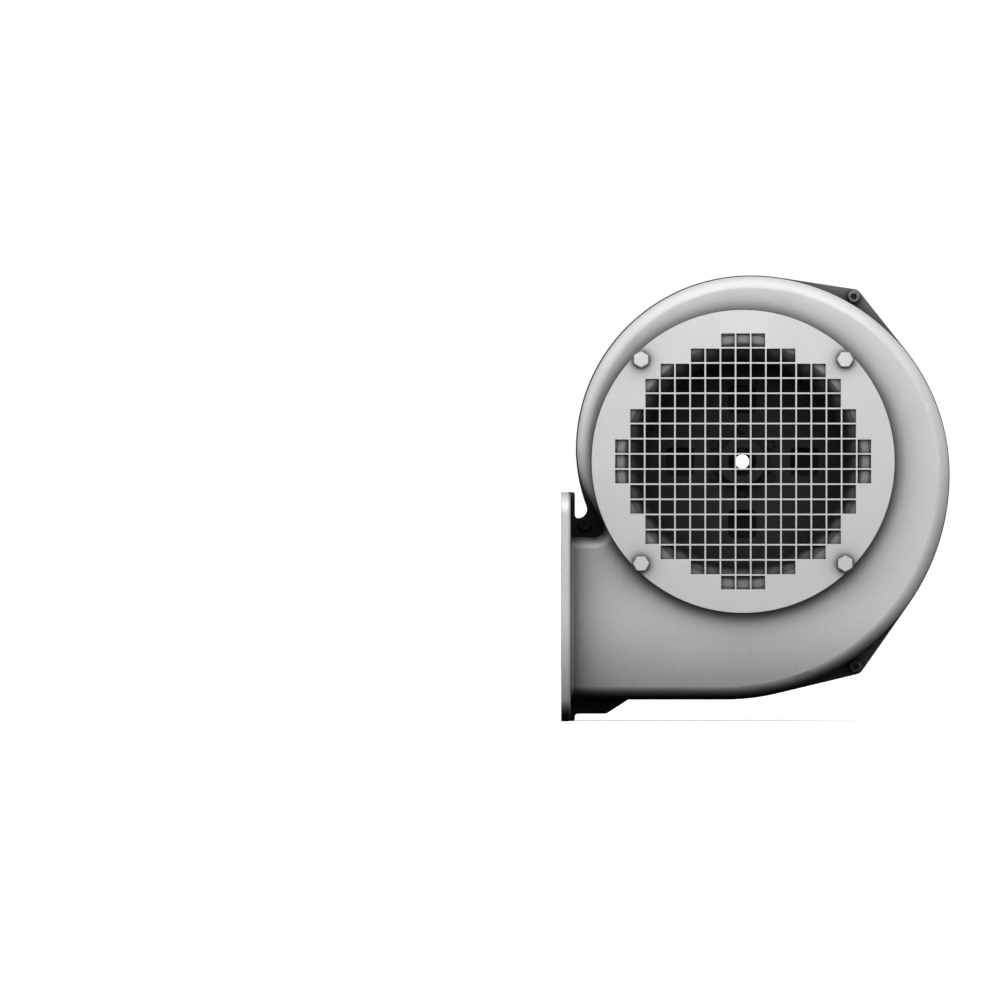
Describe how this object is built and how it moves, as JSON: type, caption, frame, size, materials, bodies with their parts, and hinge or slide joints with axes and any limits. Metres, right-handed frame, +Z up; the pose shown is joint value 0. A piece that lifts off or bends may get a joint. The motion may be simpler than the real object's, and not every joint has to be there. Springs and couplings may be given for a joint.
{
  "type": "combustion fan",
  "caption": "Centrifugal combustion fan: cast two-part scroll with side outlet flange, round grille guard over the inlet, drum impeller and finned flange motor.",
  "frame": {"origin": "centre of the outlet flange's face, which is the centre of its four bolt holes", "axes": "+X into the fan, away from whatever the outlet is bolted to; +Y along the shaft from the inlet guard to the motor; +Z up. The parting plane of the casing is Y = 0 and the shaft is at X 0.126, Z 0.1007"},
  "size_m": [0.2698, 0.308, 0.3095],
  "materials": {
    "cast_aluminium": "blasted casting, satin",
    "gasket_fibre": "matte fibre sheet",
    "black_steel": "black oxide",
    "zinc_steel": "zinc plated",
    "painted_guard": "fine matte powder coat",
    "bright_steel": "bright zinc",
    "nozzle_steel": "matte powder coat",
    "impeller_black": "matte black coat",
    "key_steel": "ground",
    "shaft_steel": "ground and polished end",
    "lamination_steel": "stacked sheet edges",
    "cage_aluminium": "as cast",
    "bearing_steel": "ground and polished",
    "cage_brass": "pressed brass",
    "spring_steel": "blued spring steel",
    "seal_rubber": "matte black",
    "motor_paint": "semi-matte paint over casting",
    "winding_varnish": "varnished copper",
    "fan_plastic": "moulded",
    "cowl_paint": "semi-matte paint on sheet",
    "box_paint": "semi-matte paint over casting",
    "board_plastic": "moulded phenolic",
    "terminal_brass": "turned",
    "lead_insulation": "silicone sleeve",
    "gland_plastic": "moulded",
    "plate_aluminium": "anodised, blank"
  },
  "bodies": {
    "stator": {"front_casing": "cast_aluminium", "rear_casing": "cast_aluminium", "casing_gasket": "gasket_fibre", "case_screws": "zinc_steel", "case_washers": "zinc_steel", "case_nuts": "zinc_steel", "inlet_guard": "painted_guard", "guard_washers": "zinc_steel", "guard_bolts": "bright_steel", "inlet_nozzle": "nozzle_steel", "bearing_outer_rings": "bearing_steel", "preload_washer": "spring_steel", "shaft_seal": "seal_rubber", "motor_gasket": "gasket_fibre", "motor_screws": "black_steel", "drive_end_shield": "motor_paint", "motor_housing": "motor_paint", "rear_end_shield": "motor_paint", "shield_screws": "zinc_steel", "stator_core": "lamination_steel", "stator_windings": "winding_varnish", "fan_cowl": "cowl_paint", "cowl_screws": "zinc_steel", "terminal_box": "box_paint", "box_gasket": "seal_rubber", "box_screws": "zinc_steel", "terminal_lid": "box_paint", "lid_gasket": "seal_rubber", "lid_screws": "zinc_steel", "terminal_board": "board_plastic", "terminal_studs": "terminal_brass", "terminal_links": "terminal_brass", "terminal_nuts": "terminal_brass", "lead_wires": "lead_insulation", "earth_screw": "terminal_brass", "gland_body": "gland_plastic", "gland_seal": "seal_rubber", "gland_nut": "gland_plastic", "gland_locknut": "gland_plastic", "rating_plate": "plate_aluminium", "rating_rivets": "plate_aluminium"},
    "rotor": {"impeller_back_disc": "impeller_black", "impeller_front_ring": "impeller_black", "impeller_blades": "impeller_black", "impeller_hub": "impeller_black", "hub_rivets": "impeller_black", "impeller_key": "key_steel", "hub_set_screw": "black_steel", "motor_shaft": "shaft_steel", "rotor_core": "lamination_steel", "rotor_cage": "cage_aluminium", "bearing_inner_rings": "bearing_steel", "cooling_fan": "fan_plastic", "fan_circlip": "spring_steel"},
    "drive_balls": {"drive_bearing_balls": "bearing_steel", "drive_bearing_cage": "cage_brass"},
    "rear_balls": {"rear_bearing_balls": "bearing_steel", "rear_bearing_cage": "cage_brass"}
  },
  "joints": [
    {"name": "rotor_spin", "type": "hinge", "parent": "stator", "child": "rotor", "pos_m": [0.126, 0, 0.1007], "axis": [0, 1, 0], "continuous": true},
    {"name": "drive_cage_spin", "type": "hinge", "parent": "stator", "child": "drive_balls", "pos_m": [0.126, 0, 0.1007], "axis": [0, 1, 0], "continuous": true},
    {"name": "rear_cage_spin", "type": "hinge", "parent": "stator", "child": "rear_balls", "pos_m": [0.126, 0, 0.1007], "axis": [0, 1, 0], "continuous": true}
  ],
  "couplings": [
    {"joint": "drive_cage_spin", "follows": "rotor_spin", "ratio": 0.38},
    {"joint": "rear_cage_spin", "follows": "rotor_spin", "ratio": 0.38}
  ]
}
